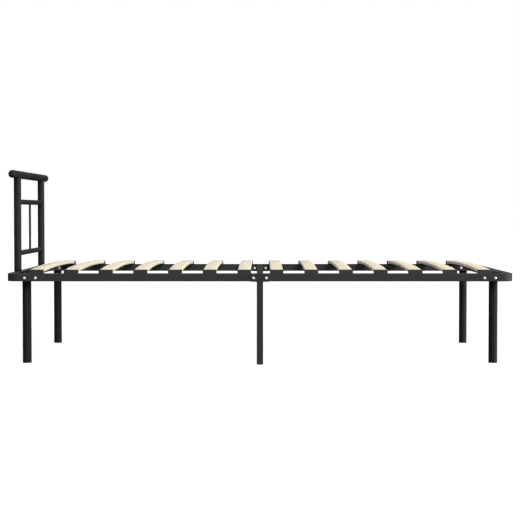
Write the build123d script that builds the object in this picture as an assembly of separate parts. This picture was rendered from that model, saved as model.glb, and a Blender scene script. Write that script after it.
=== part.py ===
from build123d import *
from math import asin, degrees
import os

# A single metal bed frame: two U-shaped half frames of square tube, bolted together over a
# middle support, on round corner legs, with a tubular headboard and arched plywood slats.
# X runs from the head (-X) to the foot (+X), Y to the left side of a person lying in the bed,
# Z up. The origin is on the floor, below the middle of the frame. Millimetres.

# ---- whole frame ----
bed_length = 2033.0          # over the two end rails
bed_width = 1040.0           # over the two side rails
rail_top = 365.5             # top face of the rails above the floor

# ---- square rail tube ----
rail_tube = 31.75            # side of the square
rail_wall = 1.5
rail_edge = 1.5              # rounding of the tube's own long edges
bend_outer = 46.0            # outer radius of the two bends of a half frame
half_gap = 1.0               # gap where the two half frames meet

# ---- corner legs, brackets and feet ----
leg_diameter = 36.0
leg_wall = 1.5
leg_end_inset = 71.0         # leg axis to the outer face of the end rail
leg_side_inset = 77.0        # leg axis to the outer face of the side rail
foot_flange = 3.0            # thickness of a foot cap below its tube
foot_plug = 18.0             # length of a foot cap inside its tube
foot_web = 2.0               # wall of the hollow plug
foot_edge = 0.7              # rounding of a foot cap's floor edge
bracket_sheet = 3.0
bracket_reach = 99.0         # along each rail, from the inner corner
nut_room = 0.5               # between the nuts and the bracket plate
bracket_lip = 3.0            # top of the bracket flanges below the top of the rails
bracket_corner = 45.0        # what the plate's free corner leaves of each free side
bend_clearance = 5.0         # between bracket and the inside of the rail's bend

# ---- middle support ----
centre_tube = 26.0           # square tube of the middle legs and the cross tube
centre_wall = 1.5
centre_edge = 1.5
saddle_sheet = 1.5
saddle_length = 72.8
saddle_lip = 1.5             # top of the saddle flanges below the top of the rails

# ---- fasteners ----
bolt_diameter = 6.0
bolt_spare = 1.0             # bolt end past its nut
bolt_hole = 6.4
head_diameter = 10.5
head_height = 3.3
head_round = 2.0
socket_size = 4.0            # across flats of the hexagon socket
socket_depth = 2.0
nut_size = 10.0              # across flats
nut_height = 5.0
nut_chamfer = 0.5
bolt_drop = 2.0              # bolt axis below the rail's centre line
corner_bolt_inset = 74.0     # outer corner bolt to the outer face of the end rail
corner_bolt_pitch = 43.3
centre_bolt_offset = 25.9    # from the middle of the bed

# ---- slats and their holders ----
slats_per_half = 7
first_slat = 64.7            # middle of the row to the centre of the first slat
slat_shift = 2.2             # the whole row of slats sits this far towards the foot
last_slat_inset = 116.9      # outer face of the end rail to the last slat, before the shift
slat_width = 50.0
slat_thickness = 12.0
slat_rise = 9.5              # height of the arch
slat_edge = 1.5              # rounding of the long edges
holder_cheek = 2.5           # side wall beside the slat
holder_depth = 33.0
holder_setback = 1.0         # outer face behind the rail's outer face
holder_wall = 2.5            # end wall
holder_floor = 2.0
holder_cover = 1.5           # lip thickness above the slat
holder_lip = 8.0             # how far the lip reaches over the slat's end
holder_round = 1.5
peg_diameter = 8.0
peg_length = 11.0
peg_pitch = 30.0
peg_clearance = 0.2          # on the radius of the peg's hole in the rail

# ---- headboard ----
post_diameter = 30.5
post_wall = 1.5
post_inset = 202.0           # post axis to the outer face of the side rail
post_outset = 2.0            # post axis outside the end rail's centre line
top_rail_diameter = 32.5
top_rail_wall = 1.5
top_rail_reach = 137.0       # past each post's axis, over the domed ends
top_rail_height = 765.8      # axis above the floor
end_plug = 16.0              # length of an end cap inside the top rail
bar_diameter = 21.5
bar_wall = 1.2
upper_bar_height = 653.0
lower_bar_height = 440.6
spindle_diameter = 9.4
spigot_height = 60.0
spigot_wall = 2.5
spigot_clearance = 0.25      # on the radius, inside the post
screw_diameter = 6.0
screw_length = 7.0
screw_socket = 3.0           # across flats, and depth
screw_sunk = 0.4             # below the outside of the post
screw_height = 25.0          # above the top of the rails

# ---- places that follow from the sizes above ----
half_length = bed_length / 2
half_width = bed_width / 2
rail_bottom = rail_top - rail_tube
rail_middle = rail_top - rail_tube / 2
rail_y = half_width - rail_tube / 2
inner_x = half_length - rail_tube
inner_y = half_width - rail_tube
bolt_z = rail_middle - bolt_drop
corner_bolts_x = [half_length - corner_bolt_inset, half_length - corner_bolt_inset - corner_bolt_pitch]
slat_pitch = (half_length - last_slat_inset - first_slat) / (slats_per_half - 1)
slats_x = [first_slat + slat_pitch * k for k in range(slats_per_half)]
slat_length = bed_width - 2 * (holder_setback + holder_wall)
slat_seat = rail_top + holder_floor
holder_width = slat_width + 2 * holder_cheek
plate_z = bolt_z - nut_size / 2 - nut_room - bracket_sheet
saddle_bottom = rail_bottom - saddle_sheet
saddle_face = half_width + saddle_sheet
centre_leg_y = saddle_face - centre_tube / 2
post_x = -(half_length - rail_tube / 2 + post_outset)
post_y = half_width - post_inset
top_rail_length = 2 * (post_y + top_rail_reach)
ENDS = {"head": -1, "foot": 1}
SIDES = {"left": 1, "right": -1}


def round_tube(diameter, wall, length):
    """Upright round tube standing on z = 0."""
    return extrude(Circle(diameter / 2) - Circle(diameter / 2 - wall), length)


def square_section(side, wall, edge):
    """Cross-section of a square tube with rounded edges."""
    inside = side - 2 * wall
    return RectangleRounded(side, side, edge) - RectangleRounded(inside, inside, edge * 0.5)


def lying_y(part):
    """Turn an upright part so that its axis runs along Y."""
    return Rot(X=-90) * part


def half_frame(end):
    """Bent U of square tube, with its bolt holes and the holes for the slat holders' pegs."""
    end_x = end * (half_length - rail_tube / 2)
    open_x = end * half_gap / 2
    corners = [(open_x, rail_y), (end_x, rail_y), (end_x, -rail_y), (open_x, -rail_y)]
    path = FilletPolyline(*[(x, y, rail_middle) for x, y in corners], radius=bend_outer - rail_tube / 2)
    section = Plane(origin=path @ 0, x_dir=(0, 1, 0), z_dir=path % 0)
    frame = sweep(section * square_section(rail_tube, rail_wall, rail_edge), path=path)
    across = lying_y(Cylinder(bolt_hole / 2, bed_width + rail_tube))
    for x in corner_bolts_x + [centre_bolt_offset]:
        frame -= Pos(end * x, 0, bolt_z) * across
    peg_hole = Cylinder(peg_diameter / 2 + peg_clearance, 4 * rail_wall)
    for x in slats_x:
        for dx in (-peg_pitch / 2, peg_pitch / 2):
            for side in SIDES.values():
                frame -= Pos(end * x + slat_shift + dx, side * rail_y, rail_top) * peg_hole
    return frame


def corner_bracket():
    """Pressed corner plate with a flange up each rail, for the +X +Y corner."""
    reach = bracket_reach
    keep = bracket_corner
    outline = Polyline(
        (inner_x, inner_y),
        (inner_x - reach, inner_y),
        (inner_x - reach, inner_y - keep),
        (inner_x - keep, inner_y - reach),
        (inner_x, inner_y - reach),
        close=True,
    )
    plate = Pos(0, 0, plate_z) * extrude(make_face(outline), bracket_sheet)
    bend = bend_outer - rail_tube + bend_clearance
    height = rail_top - bracket_lip - plate_z
    run = reach - bend
    centre = -bend - run / 2
    side_flange = Pos(inner_x + centre, inner_y - bracket_sheet / 2, plate_z + height / 2)
    end_flange = Pos(inner_x - bracket_sheet / 2, inner_y + centre, plate_z + height / 2)
    bracket = plate + side_flange * Box(run, bracket_sheet, height)
    bracket += end_flange * Box(bracket_sheet, run, height)
    corner = bracket.edges().filter_by(Axis.Z).sort_by_distance((inner_x, inner_y, plate_z))[0]
    bracket = fillet(corner, bend)
    hole = lying_y(Cylinder(bolt_hole / 2, 4 * bracket_sheet))
    for x in corner_bolts_x:
        bracket -= Pos(x, inner_y, bolt_z) * hole
    return bracket


def foot_cap(outer, plug, hollow):
    """Plastic foot: a flange on the floor and a hollow plug up into the tube."""
    flange = extrude(outer, foot_flange)
    flange = fillet(flange.faces().sort_by(Axis.Z)[0].edges(), foot_edge)
    inside = Pos(0, 0, foot_flange) * extrude(plug - hollow, foot_plug)
    return flange + inside


def centre_saddle():
    """U-shaped sheet saddle under the meeting ends of the left side rails."""
    outer = rail_tube + 2 * saddle_sheet
    top = rail_top - saddle_lip
    height = top - saddle_bottom
    block = Box(saddle_length, outer, height)
    channel = Pos(0, 0, saddle_sheet) * Box(saddle_length, rail_tube, height)
    hole = lying_y(Cylinder(bolt_hole / 2, 2 * outer))
    saddle = Pos(0, rail_y, saddle_bottom + height / 2) * (block - channel)
    for dx in (-centre_bolt_offset, centre_bolt_offset):
        saddle -= Pos(dx, rail_y, bolt_z) * hole
    return saddle


def slat():
    """Arched plywood slat over the middle of the bed, with rounded long edges."""
    half = slat_length / 2
    arch_radius = (half ** 2 + slat_rise ** 2) / (2 * slat_rise)
    turn = 2 * degrees(asin(half / arch_radius))
    crest = slat_seat + slat_rise
    axle = Axis((0, 0, crest - arch_radius), (1, 0, 0))
    profile = RectangleRounded(slat_width, slat_thickness, slat_edge)
    section = Plane.XZ * Pos(0, crest + slat_thickness / 2) * profile
    return revolve(section.rotate(axle, -turn / 2), axle, turn)


def slat_holder(board):
    """Moulded cap for the left end of a slat, with two pegs into the rail."""
    top = slat_seat + slat_thickness + holder_cover
    height = top - rail_top
    outer_y = half_width - holder_setback
    body = Pos(0, outer_y - holder_depth / 2, rail_top + height / 2) * Box(holder_width, holder_depth, height)
    rounded = body.edges().filter_by(Axis.Z) + body.faces().sort_by(Axis.Z)[-1].edges()
    body = fillet(rounded, holder_round)
    lip_y = slat_length / 2 - holder_lip
    mouth_y = outer_y - 2 * holder_depth
    mouth = Box(slat_width, lip_y - mouth_y, slat_thickness)
    body -= board
    body -= Pos(0, (lip_y + mouth_y) / 2, slat_seat + slat_thickness) * mouth
    for dx in (-peg_pitch / 2, peg_pitch / 2):
        body += Pos(dx, rail_y, rail_top - peg_length / 2) * Cylinder(peg_diameter / 2, peg_length)
    return body


def button_bolt(length):
    """Socket button-head bolt, seat at z = 0 and head up."""
    head = Pos(0, 0, head_height / 2) * Cylinder(head_diameter / 2, head_height)
    head = fillet(head.faces().sort_by(Axis.Z)[-1].edges(), head_round)
    socket = extrude(RegularPolygon(socket_size / 2, 6, major_radius=False), socket_depth)
    shank = Pos(0, 0, -length / 2) * Cylinder(bolt_diameter / 2, length)
    return head + shank - Pos(0, 0, head_height - socket_depth) * socket


def hex_nut():
    """Hexagon nut from z = 0 up, with chamfered corners."""
    hexagon = extrude(RegularPolygon(nut_size / 2, 6, major_radius=False), nut_height)
    corner = nut_size / 3 ** 0.5
    blank = extrude(Circle(corner), nut_height)
    blank = chamfer(blank.edges().filter_by(GeomType.CIRCLE), nut_chamfer)
    return (hexagon & blank) - Pos(0, 0, nut_height / 2) * Cylinder(bolt_diameter / 2, nut_height)


def outward(side):
    """Rotation that points an upright fastener away from the bed on one side."""
    return Rot(X=-90 * side)


def dome_cap():
    """Domed plastic end cap: half ball and plug, plug down, seat at z = 0."""
    radius = top_rail_diameter / 2
    ball = Sphere(radius) & Pos(0, 0, radius) * Box(4 * radius, 4 * radius, 2 * radius)
    plug = Pos(0, 0, -end_plug / 2) * Cylinder(radius - top_rail_wall, end_plug)
    return ball + plug


def cross_bar(height):
    """Round bar between the posts, coped to fit against them."""
    blank = round_tube(bar_diameter, bar_wall, 2 * post_y)
    bar = Pos(post_x, -post_y, height) * lying_y(blank)
    for side in SIDES.values():
        bar -= Pos(post_x, side * post_y, height) * Cylinder(post_diameter / 2, 2 * bar_diameter)
    return bar.solids().sort_by(SortBy.VOLUME)[-1]


parts = {}

# ---- the two half frames ----
for end_name, end in ENDS.items():
    parts[f"{end_name}_half_frame"] = half_frame(end)

# ---- corner legs, their brackets and feet ----
leg_bore = leg_diameter / 2 - leg_wall
bracket = corner_bracket()
round_foot = foot_cap(Circle(leg_diameter / 2), Circle(leg_bore), Circle(leg_bore - foot_web))
round_leg = Pos(0, 0, foot_flange) * round_tube(leg_diameter, leg_wall, plate_z - foot_flange)
for end_name, end in ENDS.items():
    for side_name, side in SIDES.items():
        place = Pos(end * (half_length - leg_end_inset), side * (half_width - leg_side_inset), 0)
        corner = f"{end_name}_{side_name}"
        piece = bracket if end > 0 else mirror(bracket, about=Plane.YZ)
        parts[f"bracket_{corner}"] = piece if side > 0 else mirror(piece, about=Plane.XZ)
        parts[f"leg_{corner}"] = place * round_leg
        parts[f"foot_{corner}"] = place * round_foot

# ---- middle support ----
centre_section = square_section(centre_tube, centre_wall, centre_edge)
square_leg = Pos(0, 0, foot_flange) * extrude(centre_section, saddle_bottom - foot_flange)
plug_side = centre_tube - 2 * centre_wall
hollow_side = plug_side - 2 * foot_web
square_foot = foot_cap(
    RectangleRounded(centre_tube, centre_tube, centre_edge),
    RectangleRounded(plug_side, plug_side, centre_edge),
    Rectangle(hollow_side, hollow_side),
)
saddle = centre_saddle()
for side_name, side in SIDES.items():
    place = Pos(0, side * centre_leg_y, 0)
    parts[f"centre_saddle_{side_name}"] = saddle if side > 0 else mirror(saddle, about=Plane.XZ)
    parts[f"centre_leg_{side_name}"] = place * square_leg
    parts[f"centre_foot_{side_name}"] = place * square_foot
cross_length = 2 * (inner_y - saddle_sheet)
cross_tube = lying_y(extrude(centre_section, cross_length))
parts["centre_crossbar"] = Pos(0, -cross_length / 2, rail_top - centre_tube / 2) * cross_tube

# ---- slats and holders ----
board = slat()
left_holder = slat_holder(board)
all_x = [-x for x in reversed(slats_x)] + slats_x
for number, x in enumerate(all_x, start=1):
    parts[f"slat_{number:02d}"] = Pos(x + slat_shift, 0, 0) * board
for end_name, end in ENDS.items():
    for side_name, side in SIDES.items():
        one = left_holder if side > 0 else mirror(left_holder, about=Plane.XZ)
        row = [Pos(end * x + slat_shift, 0, 0) * one for x in slats_x]
        parts[f"holders_{end_name}_{side_name}"] = Compound(children=row)

# ---- headboard ----
top_rail = lying_y(Cylinder(top_rail_diameter / 2, top_rail_length))
top_place = Pos(post_x, 0, top_rail_height)
spigot_diameter = post_diameter - 2 * (post_wall + spigot_clearance)
screw_x = post_x - post_diameter / 2
screw_hole = Rot(Y=90) * Cylinder(screw_diameter / 2, 2 * screw_length)
spigots = []
screws = []
for side_name, side in SIDES.items():
    base = Pos(post_x, side * post_y, rail_top)
    screw_place = Pos(screw_x, side * post_y, rail_top + screw_height)
    post = base * round_tube(post_diameter, post_wall, top_rail_height - rail_top)
    post -= top_place * top_rail
    post -= screw_place * screw_hole
    parts[f"headboard_post_{side_name}"] = post.solids().sort_by(SortBy.VOLUME)[-1]
    spigots.append(base * round_tube(spigot_diameter, spigot_wall, spigot_height) - screw_place * screw_hole)
    grub = Cylinder(screw_diameter / 2, screw_length)
    grub -= Pos(0, 0, -screw_length / 2) * extrude(RegularPolygon(screw_socket / 2, 6), screw_socket)
    screws.append(screw_place * Pos(screw_length / 2 + screw_sunk, 0, 0) * Rot(Y=90) * grub)
parts["post_spigots"] = Compound(children=spigots)
parts["post_screws"] = Compound(children=screws)

tube_length = top_rail_length - top_rail_diameter
tube = round_tube(top_rail_diameter, top_rail_wall, tube_length)
parts["headboard_top_rail"] = top_place * Pos(0, -tube_length / 2, 0) * lying_y(tube)
for side_name, side in SIDES.items():
    seat = Pos(0, side * tube_length / 2, 0)
    parts[f"top_rail_cap_{side_name}"] = top_place * seat * outward(side) * dome_cap()
parts["headboard_upper_bar"] = cross_bar(upper_bar_height)
parts["headboard_lower_bar"] = cross_bar(lower_bar_height)
rise = upper_bar_height - lower_bar_height
spindle = Pos(post_x, 0, lower_bar_height + rise / 2) * Cylinder(spindle_diameter / 2, rise)
for height in (upper_bar_height, lower_bar_height):
    spindle -= Pos(post_x, 0, height) * lying_y(Cylinder(bar_diameter / 2, 4 * bar_diameter))
parts["headboard_spindle"] = spindle

# ---- bolts and nuts ----
nut = hex_nut()
corner_places = [end * x for end in ENDS.values() for x in corner_bolts_x]
groups = {
    "corner": (half_width, inner_y - bracket_sheet, corner_places),
    "centre": (saddle_face, inner_y - saddle_sheet, [-centre_bolt_offset, centre_bolt_offset]),
}
for group, (head_y, nut_y, places) in groups.items():
    bolt = button_bolt(head_y - nut_y + nut_height + bolt_spare)
    bolts = []
    nuts = []
    for side in SIDES.values():
        for x in places:
            bolts.append(Pos(x, side * head_y, bolt_z) * outward(side) * bolt)
            nuts.append(Pos(x, side * nut_y, bolt_z) * outward(-side) * nut)
    parts[f"{group}_bolts"] = Compound(children=bolts)
    parts[f"{group}_nuts"] = Compound(children=nuts)

os.makedirs("parts", exist_ok=True)
for name, shape in parts.items():
    export_step(shape, f"parts/{name}.step")
print(len(parts), "nodes written")
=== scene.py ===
from math import asin, cos, pi, radians, sin, sqrt

import bpy
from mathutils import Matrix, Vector


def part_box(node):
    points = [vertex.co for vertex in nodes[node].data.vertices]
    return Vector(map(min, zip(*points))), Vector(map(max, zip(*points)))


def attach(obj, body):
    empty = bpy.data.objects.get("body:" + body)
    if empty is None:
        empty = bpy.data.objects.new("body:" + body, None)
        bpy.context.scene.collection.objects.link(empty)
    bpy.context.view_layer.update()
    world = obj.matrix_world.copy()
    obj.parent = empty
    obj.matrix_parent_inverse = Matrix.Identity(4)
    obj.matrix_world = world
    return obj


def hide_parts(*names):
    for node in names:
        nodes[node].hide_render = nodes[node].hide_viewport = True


# A single metal bed frame: two bent half frames of square tube on round legs, bolted together
# over a middle support, with a tubular headboard and arched plywood slats. Metres, Z up.
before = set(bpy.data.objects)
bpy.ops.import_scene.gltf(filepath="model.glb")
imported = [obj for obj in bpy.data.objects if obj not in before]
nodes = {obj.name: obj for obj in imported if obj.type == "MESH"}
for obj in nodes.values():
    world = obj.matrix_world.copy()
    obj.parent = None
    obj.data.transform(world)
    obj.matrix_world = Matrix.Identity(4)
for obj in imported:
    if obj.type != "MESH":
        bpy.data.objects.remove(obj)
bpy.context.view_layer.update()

# ---- half frames -------------------------------------------------------------------------
# Each half is one length of square steel tube bent into a U. It is powder coated satin
# black after welding: the cured coat keeps a fine orange-peel skin and holds a little dust.


def new_group(name, inputs, outputs):
    """Empty shader node group with named sockets; returns the group and its two end nodes."""
    group = bpy.data.node_groups.new(name, "ShaderNodeTree")
    for label, kind in inputs.items():
        group.interface.new_socket(label, in_out="INPUT", socket_type=f"NodeSocket{kind}")
    for label, kind in outputs.items():
        group.interface.new_socket(label, in_out="OUTPUT", socket_type=f"NodeSocket{kind}")
    return group, group.nodes.new("NodeGroupInput"), group.nodes.new("NodeGroupOutput")


def feed(tree, socket, value):
    """Give an input socket a number, or link another socket to it."""
    if isinstance(value, (int, float)):
        socket.default_value = value
    else:
        tree.links.new(value, socket)


def math_node(tree, operation, *values):
    """Math node fed by numbers or by other sockets."""
    node = tree.nodes.new("ShaderNodeMath")
    node.operation = operation
    for socket, value in zip(node.inputs, values):
        feed(tree, socket, value)
    return node.outputs[0]


def blend_of(tree, first, second, share):
    """Two values added, the first by its share and the second by the rest."""
    parts = math_node(tree, "MULTIPLY", first, share), math_node(tree, "MULTIPLY", second, 1 - share)
    return math_node(tree, "ADD", *parts)


def noise_node(tree, place, scale, detail):
    """Noise texture at a place; the scale is a number or a socket."""
    node = tree.nodes.new("ShaderNodeTexNoise")
    tree.links.new(place, node.inputs["Vector"])
    node.inputs["Detail"].default_value = detail
    feed(tree, node.inputs["Scale"], scale)
    return node.outputs["Fac"]


coat_skin, skin_in, skin_out = new_group(
    "coat_skin",
    {"Place": "Vector", "Peel Scale": "Float", "Patch Scale": "Float"},
    {"Height": "Float", "Shade": "Float"},
)
PEEL_SHARE = 0.35
peel = noise_node(coat_skin, skin_in.outputs["Place"], skin_in.outputs["Peel Scale"], 2.0)
patch = noise_node(coat_skin, skin_in.outputs["Place"], skin_in.outputs["Patch Scale"], 5.0)
coat_skin.links.new(peel, skin_out.inputs["Height"])
coat_skin.links.new(blend_of(coat_skin, peel, patch, PEEL_SHARE), skin_out.inputs["Shade"])

# Dust lies on what faces up, in specks.
resting_dust, dust_in, dust_out = new_group(
    "resting_dust",
    {"Place": "Vector", "Amount": "Float"},
    {"Mask": "Float"},
)
SPECK_SCALE = 90.0
DUST = (0.30, 0.29, 0.27)
facing = resting_dust.nodes.new("ShaderNodeNewGeometry")
upward = resting_dust.nodes.new("ShaderNodeSeparateXYZ")
resting_dust.links.new(facing.outputs["Normal"], upward.inputs["Vector"])
up_only = math_node(resting_dust, "MAXIMUM", upward.outputs["Z"], 0.0)
lying = math_node(resting_dust, "POWER", up_only, 3.0)
specks = noise_node(resting_dust, dust_in.outputs["Place"], SPECK_SCALE, 8.0)
speckled = math_node(resting_dust, "MULTIPLY", lying, specks)
dusted = math_node(resting_dust, "MULTIPLY", speckled, dust_in.outputs["Amount"])
resting_dust.links.new(dusted, dust_out.inputs["Mask"])


def mix_colour(tree, factor, first, second):
    """Mix two colours by a factor socket; each colour is a tuple or a socket."""
    node = tree.nodes.new("ShaderNodeMix")
    node.data_type = "RGBA"
    tree.links.new(factor, node.inputs["Factor"])
    for socket, value in ((node.inputs[6], first), (node.inputs[7], second)):
        if isinstance(value, tuple):
            socket.default_value = (*value, 1.0)
        else:
            tree.links.new(value, socket)
    return node.outputs[2]


def map_range(tree, value, *limits):
    """Map a value from one range to another: from low, from high, to low, to high."""
    node = tree.nodes.new("ShaderNodeMapRange")
    tree.links.new(value, node.inputs["Value"])
    for socket, number in zip(("From Min", "From Max", "To Min", "To Max"), limits):
        node.inputs[socket].default_value = number
    return node


NOISE_RANGE = (0.3, 0.7)


def spread(tree, value, low, high):
    """Stretch the range that noise mostly keeps to over low to high."""
    return map_range(tree, value, *NOISE_RANGE, low, high).outputs["Result"]


def place_group(tree, group, place, **values):
    """Put a node group in a material with its own values."""
    node = tree.nodes.new("ShaderNodeGroup")
    node.node_tree = group
    tree.links.new(place, node.inputs["Place"])
    for label, value in values.items():
        node.inputs[label.replace("_", " ")].default_value = value
    return node


def start_material(name, specular):
    """Material with its Principled surface, its node tree and the object's own coordinates."""
    material = bpy.data.materials.new(name)
    material.use_nodes = True
    tree = material.node_tree
    surface = tree.nodes["Principled BSDF"]
    surface.inputs["Specular IOR Level"].default_value = specular
    return material, tree, surface, tree.nodes.new("ShaderNodeTexCoord").outputs["Object"]


def add_bump(tree, surface, height, depth):
    """Raise the surface by a height value, depth metres at most."""
    bump = tree.nodes.new("ShaderNodeBump")
    bump.inputs["Distance"].default_value = depth
    tree.links.new(height, bump.inputs["Height"])
    tree.links.new(bump.outputs["Normal"], surface.inputs["Normal"])


def coated_material(name, dark, light, rough, specular, metallic=0.0,
                    peel=520.0, patch=7.0, depth=0.00004, dust=0.05):
    """Finish with a fine skin: powder coat, moulded plastic or zinc plate."""
    material, tree, surface, place = start_material(name, specular)
    surface.inputs["Metallic"].default_value = metallic
    skin = place_group(tree, coat_skin, place, Peel_Scale=peel, Patch_Scale=patch)
    settled = place_group(tree, resting_dust, place, Amount=dust)
    shade = spread(tree, skin.outputs["Shade"], 0.0, 1.0)
    colour = mix_colour(tree, shade, dark, light)
    colour = mix_colour(tree, settled.outputs["Mask"], colour, DUST)
    tree.links.new(colour, surface.inputs["Base Color"])
    tree.links.new(spread(tree, skin.outputs["Shade"], *rough), surface.inputs["Roughness"])
    add_bump(tree, surface, skin.outputs["Height"], depth)
    return material


def powder_coat(name, dark, light, rough, specular, dust=0.05):
    """Black powder coat between a dark and a light grey."""
    return coated_material(f"{name}_powder_coat", (dark,) * 3, (light,) * 3, rough, specular, dust=dust)


def dress(names, material):
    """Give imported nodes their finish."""
    for name in names:
        node = nodes[name]
        node.data.materials.clear()
        node.data.materials.append(material)


RAIL_BLACK = powder_coat("rail", 0.025, 0.031, (0.54, 0.64), 0.12)
dress(["head_half_frame", "foot_half_frame"], RAIL_BLACK)

# ---- corner brackets ---------------------------------------------------------------------
# Pressed steel corner plates with a flange up each rail, bolted through the side rail. The
# legs are welded to them before coating. Their black is painted darker than the rails' as painted shade in
# the corners.
ENDS = ("head", "foot")
SIDES = {"left": 1, "right": -1}
CORNERS = [f"{end}_{side}" for end in ENDS for side in SIDES]
BRACKET_SHADED_BLACK = powder_coat("bracket", 0.015, 0.020, (0.54, 0.65), 0.18, 0.02)
dress([f"bracket_{corner}" for corner in CORNERS], BRACKET_SHADED_BLACK)

# ---- corner legs -------------------------------------------------------------------------
# Round steel tubes welded up under the bracket plates. The weld is one pass round the tube,
# with the small ripples that a hand-held torch leaves, under the same powder coat.
# The legs' black is painted darker than the rails' black: painted shade under the frame.
LEG_SHADED_BLACK = powder_coat("leg", 0.009, 0.013, (0.55, 0.66), 0.11, 0.015)
LEG_WELD = 0.0019
WELD_RIPPLE = 0.0030
WELD_SWELL = 0.13
WELD_RINGS = 10
WELD_STEPS = 160
ROUND_TURNS = [2 * pi * step / WELD_STEPS for step in range(WELD_STEPS)]


def node_box(name):
    """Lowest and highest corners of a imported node, and its middle."""
    low, high = map(Vector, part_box(name))
    return low, high, (low + high) / 2


def add_piece(name, points, faces, materials, picks=None, sharp=None):
    """Smooth mesh piece on the frame; picks choose each face's material, sharp is in degrees."""
    mesh = bpy.data.meshes.new(name)
    mesh.from_pydata(points, [], faces)
    for material in materials:
        mesh.materials.append(material)
    if picks:
        mesh.polygons.foreach_set("material_index", [int(pick) for pick in picks])
    mesh.shade_smooth()
    if sharp:
        mesh.set_sharp_from_angle(angle=radians(sharp))
    piece = bpy.data.objects.new(name, mesh)
    bpy.context.scene.collection.objects.link(piece)
    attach(piece, "root")
    return piece


def weld_bead(name, path, radius, material):
    """Closed rippled bead along a loop of points."""
    count = len(path)
    points = []
    faces = []
    middle = sum(path, Vector()) / count
    travelled = 0.0
    for index, point in enumerate(path):
        along = (path[(index + 1) % count] - path[index - 1]).normalized()
        outward = point - middle
        outward = (outward - along * outward.dot(along)).normalized()
        across = along.cross(outward)
        swell = radius * (1.0 + WELD_SWELL * sin(2 * pi * travelled / WELD_RIPPLE))
        for ring in range(WELD_RINGS):
            turn = 2 * pi * ring / WELD_RINGS
            points.append(point + (outward * cos(turn) + across * sin(turn)) * swell)
        travelled += (path[(index + 1) % count] - point).length
    for index in range(count):
        here, ahead = index * WELD_RINGS, (index + 1) % count * WELD_RINGS
        for ring in range(WELD_RINGS):
            beside = (ring + 1) % WELD_RINGS
            faces.append((here + ring, ahead + ring, ahead + beside, here + beside))
    add_piece(name, points, faces, [material])


for corner in CORNERS:
    low, high, centre = node_box(f"leg_{corner}")
    leg_radius = (high.x - low.x) / 2
    loop = []
    for turn in ROUND_TURNS:
        loop.append(Vector((centre.x + leg_radius * cos(turn), centre.y + leg_radius * sin(turn), high.z)))
    weld_bead(f"leg_weld_{corner}", loop, LEG_WELD, LEG_SHADED_BLACK)
dress([f"leg_{corner}" for corner in CORNERS], LEG_SHADED_BLACK)

# ---- feet --------------------------------------------------------------------------------
# Moulded polyethylene caps pushed up into the leg tubes: matt, with a fine spark-eroded
# grain.
CAP_DARK = (0.014, 0.014, 0.014)
CAP_LIGHT = (0.021, 0.021, 0.021)
CAP_BLACK = coated_material(
    "cap_plastic", CAP_DARK, CAP_LIGHT, (0.60, 0.75), 0.30, peel=1400.0, depth=0.00003
)
dress([f"foot_{corner}" for corner in CORNERS], CAP_BLACK)

# ---- middle support ----------------------------------------------------------------------
# Folded sheet saddles wrap the meeting ends of the half frames. A square leg is welded under
# each, and a square cross tube is welded between them, flush with the top of the rails.
SUPPORT_BLACK = powder_coat("support", 0.021, 0.027, (0.54, 0.64), 0.12)
CROSS_BLACK = powder_coat("cross_tube", 0.020, 0.026, (0.62, 0.72), 0.03)
TUBE_CORNER = 0.0018
CENTRE_LEG_WELD = 0.0015
CROSS_WELD = 0.0013
CROSS_WELD_INSET = 0.0012
FLAT_POINTS = 24
CORNER_STEPS = 4


def square_outline(half_side):
    """Points (u, v) round a tube's rounded square outline."""
    outline = []
    flat = half_side - TUBE_CORNER
    for quarter in range(4):
        heading = quarter * pi / 2
        u0, v0 = cos(heading), sin(heading)
        for step in range(FLAT_POINTS):
            slide = flat * (2 * step / (FLAT_POINTS - 1) - 1)
            outline.append((u0 * half_side - v0 * slide, v0 * half_side + u0 * slide))
        centre_u, centre_v = flat * (u0 - v0), flat * (v0 + u0)
        for step in range(1, CORNER_STEPS):
            turn = heading + step * pi / (2 * CORNER_STEPS)
            outline.append((centre_u + TUBE_CORNER * cos(turn), centre_v + TUBE_CORNER * sin(turn)))
    return outline


cross_low, cross_high, cross_centre = node_box("centre_crossbar")
for side_name, side in SIDES.items():
    low, high, centre = node_box(f"centre_leg_{side_name}")
    half_tube = (high.x - low.x) / 2
    loop = [Vector((centre.x + u, centre.y + v, high.z)) for u, v in square_outline(half_tube)]
    weld_bead(f"centre_leg_weld_{side_name}", loop, CENTRE_LEG_WELD, SUPPORT_BLACK)
    end_y = cross_high.y if side > 0 else cross_low.y
    outline = square_outline(half_tube - CROSS_WELD_INSET)
    loop = [Vector((u, end_y, cross_centre.z + v)) for u, v in outline]
    weld_bead(f"crossbar_weld_{side_name}", loop, CROSS_WELD, SUPPORT_BLACK)
    dress([f"centre_saddle_{side_name}", f"centre_leg_{side_name}"], SUPPORT_BLACK)
    dress([f"centre_foot_{side_name}"], CAP_BLACK)
dress(["centre_crossbar"], CROSS_BLACK)

# ---- slats -------------------------------------------------------------------------------
# Fourteen boards of hot-pressed birch plywood, arched in the press and sanded, with lightly
# rounded edges. The face veneer's fibres run along the board; the sawn sides show the plies.
SLATS = sorted(name for name in nodes if name.startswith("slat_"))
BOARD_THICKNESS = 0.012
BOARD_EDGE = 0.0015
EDGE_STEPS = 4
BOARD_ROWS = 64
SHARP_EDGE = 40
PLIES = 7
CROSS_PLY = (0.76, 0.67, 0.51)
CROSS_PLY_SHARE = 0.55
GLUE_LINE = (0.46, 0.37, 0.26)
GLUE_LINE_WIDTH = 0.12
GLUE_LINE_SHARE = 0.6
FIBRE_STRETCH = (1.0, 0.035, 1.0)
FIGURE_SCALE = 42.0
STREAK_SHARE = 0.55
FIBRE_DEPTH = 0.00006
WOOD_ROUGHNESS = (0.50, 0.64)
WOOD_SPECULAR = 0.25

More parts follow.
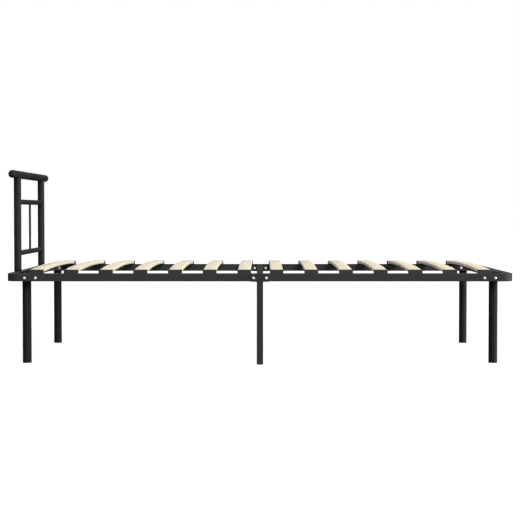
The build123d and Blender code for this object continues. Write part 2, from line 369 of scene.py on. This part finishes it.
wood_fibre, fibre_in, fibre_out = new_group(
    "wood_fibre",
    {"Place": "Vector", "Fineness": "Float"},
    {"Streak": "Float", "Figure": "Float"},
)
squeeze = wood_fibre.nodes.new("ShaderNodeVectorMath")
squeeze.operation = "MULTIPLY"
squeeze.inputs[1].default_value = FIBRE_STRETCH
wood_fibre.links.new(fibre_in.outputs["Place"], squeeze.inputs[0])
streak = noise_node(wood_fibre, squeeze.outputs["Vector"], fibre_in.outputs["Fineness"], 6.0)
figure = noise_node(wood_fibre, squeeze.outputs["Vector"], FIGURE_SCALE, 3.0)
wood_fibre.links.new(streak, fibre_out.inputs["Streak"])
wood_fibre.links.new(figure, fibre_out.inputs["Figure"])


def ply_colour(tree, colour):
    """Darker crosswise plies and thin glue lines over the colour of a sawn side."""
    height = tree.nodes.new("ShaderNodeAttribute")
    height.attribute_name = "ply_height"
    layer = math_node(tree, "MULTIPLY", height.outputs["Fac"], PLIES)
    crosswise = math_node(tree, "MODULO", math_node(tree, "FLOOR", layer), 2.0)
    colour = mix_colour(tree, math_node(tree, "MULTIPLY", crosswise, CROSS_PLY_SHARE), colour, CROSS_PLY)
    glued = math_node(tree, "LESS_THAN", math_node(tree, "FRACT", layer), GLUE_LINE_WIDTH)
    return mix_colour(tree, math_node(tree, "MULTIPLY", glued, GLUE_LINE_SHARE), colour, GLUE_LINE)


def wood_material(name, pale, warm, fineness, sawn):
    """Sanded birch: face veneer, or a sawn side with its plies."""
    material, tree, surface, place = start_material(name, WOOD_SPECULAR)
    fibre = place_group(tree, wood_fibre, place, Fineness=fineness)
    streak = spread(tree, fibre.outputs["Streak"], 0.0, 1.0)
    figure = spread(tree, fibre.outputs["Figure"], 0.0, 1.0)
    colour = mix_colour(tree, blend_of(tree, streak, figure, STREAK_SHARE), pale, warm)
    if sawn:
        colour = ply_colour(tree, colour)
    tree.links.new(colour, surface.inputs["Base Color"])
    tree.links.new(spread(tree, fibre.outputs["Streak"], *WOOD_ROUGHNESS), surface.inputs["Roughness"])
    add_bump(tree, surface, fibre.outputs["Streak"], FIBRE_DEPTH)
    return material


FACE_VENEER = wood_material("birch_face", (0.86, 0.785, 0.62), (0.73, 0.64, 0.465), 900.0, False)
# The sawn sides' base is painted lighter than the face veneer as painted light on the board sides; their
# plies and glue lines are the wood's own.
SAWN_SIDE_LIGHTENED = wood_material("birch_sawn_side_lightened", (0.90, 0.83, 0.67), (0.83, 0.75, 0.59), 1300.0, True)


def board_section(width):
    """Points (across, up) round a board's cross-section, its edges rounded."""
    section = []
    half_x, half_z = width / 2 - BOARD_EDGE, BOARD_THICKNESS / 2 - BOARD_EDGE
    for quarter, (sx, sz) in enumerate(((1, 1), (-1, 1), (-1, -1), (1, -1))):
        for step in range(EDGE_STEPS + 1):
            turn = (quarter + step / EDGE_STEPS) * pi / 2
            section.append((sx * half_x + BOARD_EDGE * cos(turn), sz * half_z + BOARD_EDGE * sin(turn)))
    return section


def arched_board(name):
    """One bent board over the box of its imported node."""
    low, high, centre = node_box(name)
    rise = high.z - low.z - BOARD_THICKNESS
    tilt_reach = 4 * rise / (high.y - low.y) * BOARD_THICKNESS
    half_span = (high.y - low.y) / 2 - tilt_reach
    inner_radius = (half_span ** 2 + rise ** 2) / (2 * rise)
    half_turn = asin(half_span / inner_radius)
    axle_z = high.z - BOARD_THICKNESS - inner_radius
    section = board_section(high.x - low.x)
    around = len(section)
    points = []
    heights = []
    for row in range(BOARD_ROWS + 1):
        turn = half_turn * (2 * row / BOARD_ROWS - 1)
        for across, up in section:
            reach = inner_radius + BOARD_THICKNESS / 2 + up
            points.append((centre.x + across, reach * sin(turn), axle_z + reach * cos(turn)))
            heights.append(up / BOARD_THICKNESS + 0.5)
    faces = []
    sawn = []
    for row in range(BOARD_ROWS):
        for index in range(around):
            beside = (index + 1) % around
            here, ahead = row * around, (row + 1) * around
            faces.append((here + index, here + beside, ahead + beside, ahead + index))
            sawn.append(abs(section[index][0] - section[beside][0]) < 1e-6)
    faces.append(tuple(reversed(range(around))))
    faces.append(tuple(BOARD_ROWS * around + index for index in range(around)))
    sawn += [True, True]
    board = add_piece(name + "_board", points, faces, [FACE_VENEER, SAWN_SIDE_LIGHTENED], sawn, SHARP_EDGE)
    board.data.attributes.new("ply_height", "FLOAT", "POINT").data.foreach_set("value", heights)
    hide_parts(name)


for name in SLATS:
    arched_board(name)

# ---- slat holders ------------------------------------------------------------------------
# Moulded plastic end caps that hold the slats. Two pegs under each press into holes in the
# top of the rail. The grain is finer and the sheen a little higher than on the feet.
HOLDER_DARK = (0.017, 0.017, 0.016)
HOLDER_LIGHT = (0.023, 0.023, 0.022)
HOLDER_BLACK = coated_material(
    "holder_plastic", HOLDER_DARK, HOLDER_LIGHT, (0.50, 0.62), 0.25, peel=1500.0, depth=0.00002
)
dress([f"holders_{corner}" for corner in CORNERS], HOLDER_BLACK)

# ---- headboard ---------------------------------------------------------------------------
# Two round posts carry a thicker top rail with domed plastic ends, two thin bars and one
# rod. Bars, rod and posts are coped and welded all round before coating.
HEADBOARD_BLACK = powder_coat("headboard", 0.013, 0.018, (0.54, 0.64), 0.10)
DOME_DARK = (0.008, 0.008, 0.008)
DOME_LIGHT = (0.012, 0.012, 0.012)
DOME_BLACK = coated_material(
    "dome_plastic", DOME_DARK, DOME_LIGHT, (0.50, 0.62), 0.14, peel=1500.0, depth=0.00002
)
POST_WELD = 0.0016
BAR_WELD = 0.0014
ROD_WELD = 0.0011


def coped_ring(radius, host_radius, turns=ROUND_TURNS):
    """Where a tube meets a thicker one: across it, along it, and out from its axis."""
    ring = []
    for turn in turns:
        across = radius * cos(turn)
        ring.append((across, radius * sin(turn), sqrt(host_radius ** 2 - across ** 2)))
    return ring


post_low, post_high, post = node_box("headboard_post_left")
post_radius = (post_high.x - post_low.x) / 2
top_low, top_high, top_rail = node_box("headboard_top_rail")
top_radius = (top_high.x - top_low.x) / 2
rod_low, rod_high, rod = node_box("headboard_spindle")
rod_radius = (rod_high.x - rod_low.x) / 2
for side_name, side in SIDES.items():
    ring = coped_ring(post_radius, top_radius)
    loop = [Vector((post.x + x, side * post.y + y, top_rail.z - out)) for x, y, out in ring]
    weld_bead(f"post_weld_{side_name}", loop, POST_WELD, HEADBOARD_BLACK)
for bar_name, away in (("upper", -1), ("lower", 1)):
    low, high, bar = node_box(f"headboard_{bar_name}_bar")
    bar_radius = (high.z - low.z) / 2
    for side_name, side in SIDES.items():
        ring = coped_ring(bar_radius, post_radius)
        loop = [Vector((post.x + x, side * (post.y - out), bar.z + z)) for x, z, out in ring]
        weld_bead(f"{bar_name}_bar_weld_{side_name}", loop, BAR_WELD, HEADBOARD_BLACK)
    ring = coped_ring(rod_radius, bar_radius, ROUND_TURNS[::2])
    loop = [Vector((rod.x + x, rod.y + y, bar.z + away * out)) for x, y, out in ring]
    weld_bead(f"rod_weld_{bar_name}", loop, ROD_WELD, HEADBOARD_BLACK)
tubes = ["post_left", "post_right", "top_rail", "upper_bar", "lower_bar", "spindle"]
dress([f"headboard_{tube}" for tube in tubes] + ["post_spigots"], HEADBOARD_BLACK)
dress([f"top_rail_cap_{side}" for side in SIDES], DOME_BLACK)

# ---- bolts, nuts and grub screws ---------------------------------------------------------
# M6 button-head bolts with hexagon sockets run from outside through the side rails to plain
# hexagon nuts inside. Heads are cold formed and threads rolled, then all is bright zinc plated.
PLATE_GRAIN = {"peel": 900.0, "patch": 60.0, "depth": 0.00001, "dust": 0.0}
ZINC = coated_material(
    "zinc_plate", (0.90, 0.90, 0.90), (0.97, 0.97, 0.97), (0.30, 0.42), 0.5, 0.25, **PLATE_GRAIN
)
# Darker zinc for the socket's floor and walls: painted shade inside the recess.
SOCKET_SHADED_ZINC = coated_material(
    "zinc_socket_painted_shade", (0.20, 0.20, 0.21), (0.30, 0.30, 0.31), (0.40, 0.55), 0.4, 0.5, **PLATE_GRAIN
)
HEAD_RADIUS = 0.00525
HEAD_HEIGHT = 0.0033
HEAD_RIM = 0.0007
CROWN_RADIUS = 0.0031
CROWN_STEPS = 8
SOCKET_HALF = 0.0020
SOCKET_DEPTH = 0.0021
SOCKET_CONE = 0.0004
SOCKET_CHAMFER = 0.00015
SHANK_RADIUS = 0.0030
THREAD_PITCH = 0.0010
THREAD_DEPTH = 0.00055
THREAD_RUN = 0.0030
THREAD_STEPS = 36
EDGE_BREAK = 0.0001
CENTRE_POINT = 0.00001
AROUND = 48
SHARP_METAL = 35


def bolt_places(name, side):
    """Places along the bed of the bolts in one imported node, on one side."""
    along = sorted(v.co.x for v in nodes[name].data.vertices if v.co.y * side > 0)
    starts = [0] + [i for i in range(1, len(along)) if along[i] - along[i - 1] > 2 * HEAD_RADIUS]
    groups = [along[i:j] for i, j in zip(starts, starts[1:] + [len(along)])]
    return [(group[0] + group[-1]) / 2 for group in groups]


def circle(radius):
    """Radius at each step round a round ring."""
    return [radius] * AROUND


def hexagon(half):
    """Radius at each step round a hexagonal ring, half its width across flats."""
    sixth = pi / 3
    return [half / cos((2 * pi * step / AROUND + sixth / 2) % sixth - sixth / 2) for step in range(AROUND)]


def socket_rings():
    """Rings up the socket, from its floor to its mouth."""
    floor_height = HEAD_HEIGHT - SOCKET_DEPTH
    return [
        (circle(CENTRE_POINT), floor_height - SOCKET_CONE),
        (hexagon(SOCKET_HALF), floor_height),
        (hexagon(SOCKET_HALF), HEAD_HEIGHT - SOCKET_CHAMFER),
        (hexagon(SOCKET_HALF + SOCKET_CHAMFER), HEAD_HEIGHT),
    ]


def head_rings():
    """Rings down the domed head to the shank."""
    rings = []
    for step in range(CROWN_STEPS + 1):
        turn = step / CROWN_STEPS * pi / 2
        radius = CROWN_RADIUS + (HEAD_RADIUS - CROWN_RADIUS) * sin(turn)
        rings.append((circle(radius), HEAD_RIM + (HEAD_HEIGHT - HEAD_RIM) * cos(turn)))
    rings += [(circle(HEAD_RADIUS), EDGE_BREAK), (circle(HEAD_RADIUS - EDGE_BREAK), 0.0)]
    return rings + [(circle(SHANK_RADIUS), 0.0)]


def thread_rings(length):
    """Rings down the rolled thread to the tip."""
    rings = []
    for step in range(THREAD_STEPS + 1):
        height = -length + THREAD_RUN * (1 - step / THREAD_STEPS)
        ring = []
        for index in range(AROUND):
            phase = (height / THREAD_PITCH + index / AROUND) % 1.0
            ring.append(SHANK_RADIUS - THREAD_DEPTH * abs(2 * phase - 1))
        rings.append((ring, height))
    tip = -length - EDGE_BREAK
    return rings + [(circle(SHANK_RADIUS - THREAD_DEPTH), tip), (circle(CENTRE_POINT), tip)]


def button_head_bolt(name, x, seat_y, z, side, length):
    """One bolt pointing inwards, its head outside the rail."""
    socket = socket_rings()
    rings = socket + head_rings() + thread_rings(length)
    points = []
    for radii, height in rings:
        for index, radius in enumerate(radii):
            turn = 2 * pi * index / AROUND
            points.append((x + side * radius * cos(turn), seat_y + side * height, z + radius * sin(turn)))
    faces = []
    for row in range(len(rings) - 1):
        for index in range(AROUND):
            beside = (index + 1) % AROUND
            here, ahead = row * AROUND, (row + 1) * AROUND
            faces.append((here + index, ahead + index, ahead + beside, here + beside))
    # The socket's floor and walls get a darker zinc as painted shade in the recess; its chamfer is as
    # bright as the head.
    shaded_socket_faces = (len(socket) - 2) * AROUND
    socket_shade_picks = [index < shaded_socket_faces for index in range(len(faces))]
    return add_piece(name, points, faces, [ZINC, SOCKET_SHADED_ZINC], socket_shade_picks, SHARP_METAL)


for group in ("corner", "centre"):
    outermost, middle = node_box(f"{group}_bolts")[1:]
    seat_y = outermost.y - HEAD_HEIGHT
    tip_y = min(abs(v.co.y) for v in nodes[f"{group}_bolts"].data.vertices)
    for side_name, side in SIDES.items():
        for number, x in enumerate(bolt_places(f"{group}_bolts", side), start=1):
            name = f"{group}_bolt_{side_name}_{number}"
            button_head_bolt(name, x, side * seat_y, middle.z, side, seat_y - tip_y)
    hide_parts(f"{group}_bolts")
dress(["corner_nuts", "centre_nuts", "post_screws"], ZINC)

# ---- floor, light and camera -------------------------------------------------------------
# A pale sheet of studio floor under a white surround, one broad soft light in front and above,
# a window beyond the foot, a weak light behind the head and a low one for light off the floor.
FLOOR_REACH = 30.0
WHITE = (1.0, 1.0, 1.0, 1.0)
floor_mesh = bpy.data.meshes.new("floor")
floor_corners = [(x * FLOOR_REACH, y * FLOOR_REACH, 0) for x, y in ((-1, -1), (1, -1), (1, 1), (-1, 1))]
floor_mesh.from_pydata(floor_corners, [], [(0, 1, 2, 3)])
floor = bpy.data.objects.new("floor", floor_mesh)
bpy.context.scene.collection.objects.link(floor)
paper = bpy.data.materials.new("floor_paper")
paper.use_nodes = True
paper_surface = paper.node_tree.nodes["Principled BSDF"]
paper_surface.inputs["Base Color"].default_value = (0.30, 0.30, 0.30, 1.0)
paper_surface.inputs["Roughness"].default_value = 1.0
paper_surface.inputs["Specular IOR Level"].default_value = 0.0
paper_surface.inputs["Emission Color"].default_value = WHITE
paper_surface.inputs["Emission Strength"].default_value = 0.80
floor_mesh.materials.append(paper)
floor.visible_diffuse = False
floor.visible_glossy = False
floor.visible_shadow = False

# The surround looks white, and lights the bed more from above than from the sides.
FADE_HEIGHTS = (-0.10, 0.75)
FADE_STRENGTHS = (0.03, 0.60)
surround = bpy.data.worlds.new("surround")
bpy.context.scene.world = surround
surround.use_nodes = True
sky = surround.node_tree
backdrop = sky.nodes["Background"]
backdrop.inputs["Color"].default_value = WHITE
studio = sky.nodes.new("ShaderNodeBackground")
heading = sky.nodes.new("ShaderNodeSeparateXYZ")
sky.links.new(sky.nodes.new("ShaderNodeTexCoord").outputs["Generated"], heading.inputs["Vector"])
fade = map_range(sky, heading.outputs["Z"], *FADE_HEIGHTS, *FADE_STRENGTHS)
fade.interpolation_type = "SMOOTHSTEP"
sky.links.new(fade.outputs["Result"], studio.inputs["Strength"])
seen = sky.nodes.new("ShaderNodeLightPath")
choose = sky.nodes.new("ShaderNodeMixShader")
sky.links.new(seen.outputs["Is Camera Ray"], choose.inputs["Fac"])
sky.links.new(studio.outputs["Background"], choose.inputs[1])
sky.links.new(backdrop.outputs["Background"], choose.inputs[2])
sky.links.new(choose.outputs["Shader"], sky.nodes["World Output"].inputs["Surface"])

# Each distant light: direction it comes from, strength, softness in degrees, share of gloss.
LIGHTS = {
    "key_light": ((0.30, -0.80, 0.50), 2.45, 30, 1.0),
    "back_light": ((-0.42, 0.76, 0.48), 0.8, 50, 0.3),
    "floor_bounce": ((0.15, -0.96, -0.22), 0.6, 25, 0.0),
}
for name, (direction, energy, softness, gloss) in LIGHTS.items():
    lamp = bpy.data.lights.new(name, "SUN")
    lamp.energy = energy
    lamp.specular_factor = gloss
    lamp.angle = radians(softness)
    lamp_stand = bpy.data.objects.new(name, lamp)
    lamp_stand.rotation_euler = Vector(direction).to_track_quat("Z", "Y").to_euler()
    bpy.context.scene.collection.objects.link(lamp_stand)

window = bpy.data.lights.new("foot_side_window", "AREA")
window.size = 2.5
window.energy = 780.0
window.specular_factor = 0.4
window_frame = bpy.data.objects.new("foot_side_window", window)
window_frame.location = (8.0, -1.0, 1.4)
window_frame.rotation_euler = window_frame.location.to_track_quat("Z", "Y").to_euler()
window_frame.visible_camera = False
bpy.context.scene.collection.objects.link(window_frame)

CAMERA_PITCH = 90 - 1.9793
CAMERA_YAW = 0.0017412
lens = bpy.data.cameras.new("camera")
lens.sensor_width = 36.0
lens.lens = 100.36
lens.clip_end = 100.0
camera = bpy.data.objects.new("camera", lens)
camera.location = (0.0104, -6.315, 0.620)
camera.rotation_euler = (radians(CAMERA_PITCH), 0.0, CAMERA_YAW)
bpy.context.scene.collection.objects.link(camera)
bpy.context.scene.camera = camera
bpy.context.scene.view_settings.view_transform = "Standard"
